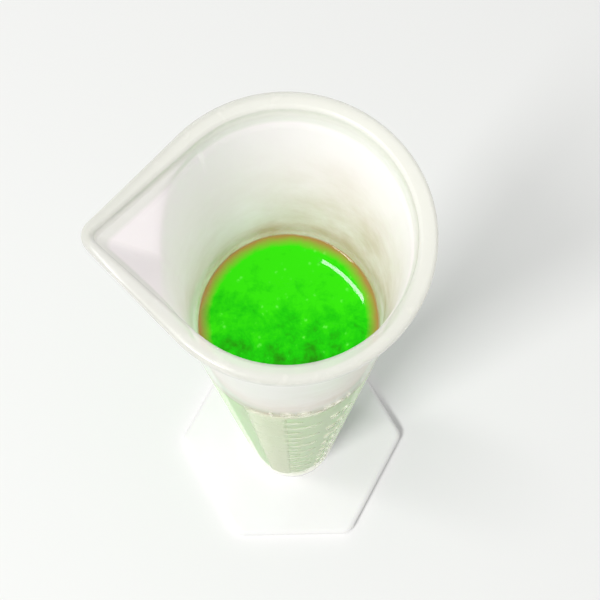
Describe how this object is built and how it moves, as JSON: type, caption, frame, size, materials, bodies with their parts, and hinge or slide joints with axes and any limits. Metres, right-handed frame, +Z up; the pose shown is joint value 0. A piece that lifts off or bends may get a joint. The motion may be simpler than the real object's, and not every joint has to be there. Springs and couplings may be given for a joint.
{
  "type": "graduated cylinder",
  "caption": "Tall translucent plastic measuring tube with beaded rim, V spout and raised scale, filled with green liquid, on a removable white hexagonal foot.",
  "frame": {"origin": "on the tube's axis, level with the surface that the foot stands on", "axes": "+Z up along the tube, the spout points along -X and the scale faces -Y"},
  "size_m": [0.0756, 0.0666, 0.25],
  "materials": {
    "translucent_polypropylene": "natural translucent polypropylene, satin",
    "raised_scale": "raised lines in the tube's own plastic",
    "green_liquid": "still, bright green water-based liquid",
    "white_plastic": "opaque white, smooth moulded"
  },
  "bodies": {
    "foot": {"hexagonal_foot": "white_plastic"},
    "cylinder": {"tube": "translucent_polypropylene", "graduation_lines": "raised_scale", "green_liquid": "green_liquid"}
  },
  "joints": [
    {"name": "tube_lift_off", "type": "slide", "parent": "foot", "child": "cylinder", "axis": [0, 0, 1], "range_m": [0, 0.015]}
  ]
}
